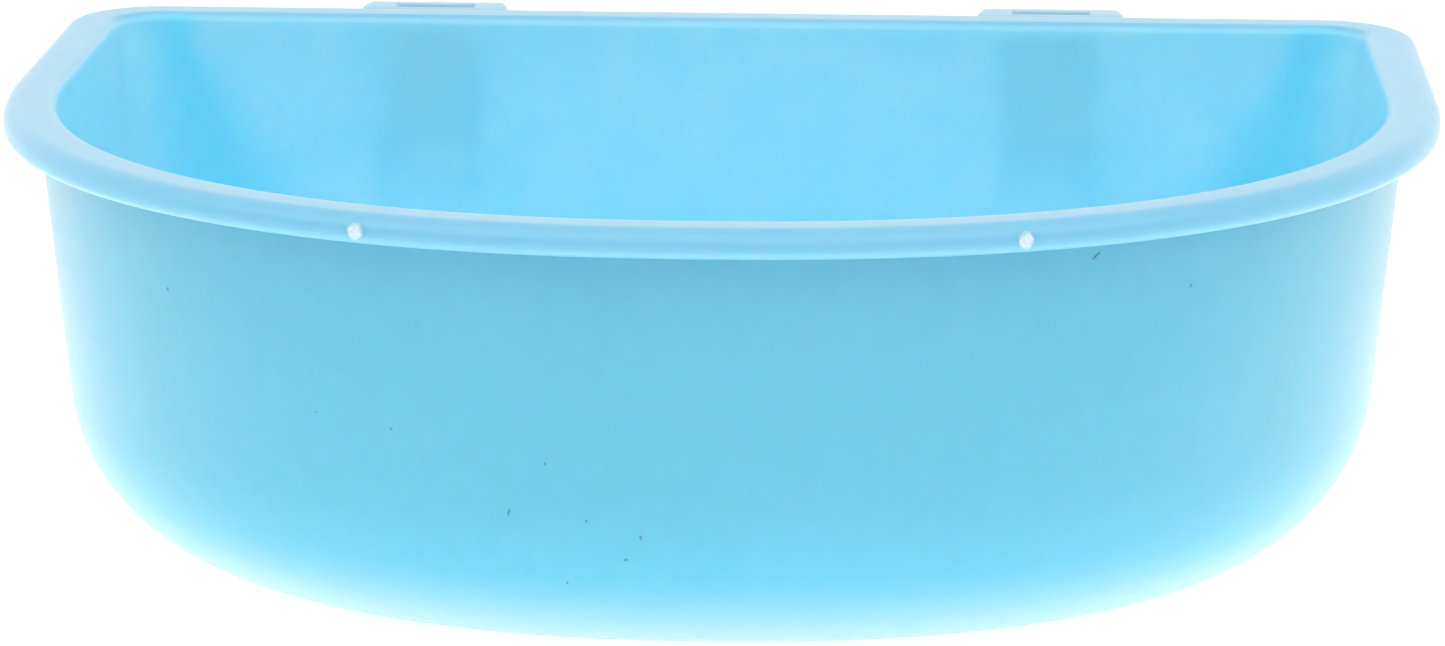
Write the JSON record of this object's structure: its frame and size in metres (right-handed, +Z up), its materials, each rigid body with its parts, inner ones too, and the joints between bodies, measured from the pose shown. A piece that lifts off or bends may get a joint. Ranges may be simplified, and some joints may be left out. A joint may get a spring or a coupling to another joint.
{
  "type": "hanging cage bowl",
  "caption": "Half-round plastic feed or water bowl with a flat back, a turned-down rim and rear sockets holding slide-out steel hanger clips for a cage wire.",
  "frame": {"origin": "middle of the flat underside", "axes": "+X across the bowl's width, -Y towards the rounded front, +Y towards the flat back that faces the cage wire, +Z up"},
  "size_m": [0.185, 0.1584, 0.0578],
  "materials": {
    "bowl_plastic": "satin light-blue polypropylene, slightly translucent",
    "zinc_plated_steel": "dull zinc plating with fine rolling marks"
  },
  "bodies": {
    "bowl": {"bowl": "bowl_plastic"},
    "left_clip": {"left_hanger_clip": "zinc_plated_steel"},
    "right_clip": {"right_hanger_clip": "zinc_plated_steel"}
  },
  "joints": [
    {"name": "left_clip_slide", "type": "slide", "parent": "bowl", "child": "left_clip", "axis": [0, 0, 1], "range_m": [-0.025, 0]},
    {"name": "right_clip_slide", "type": "slide", "parent": "bowl", "child": "right_clip", "axis": [0, 0, 1], "range_m": [-0.025, 0]}
  ]
}
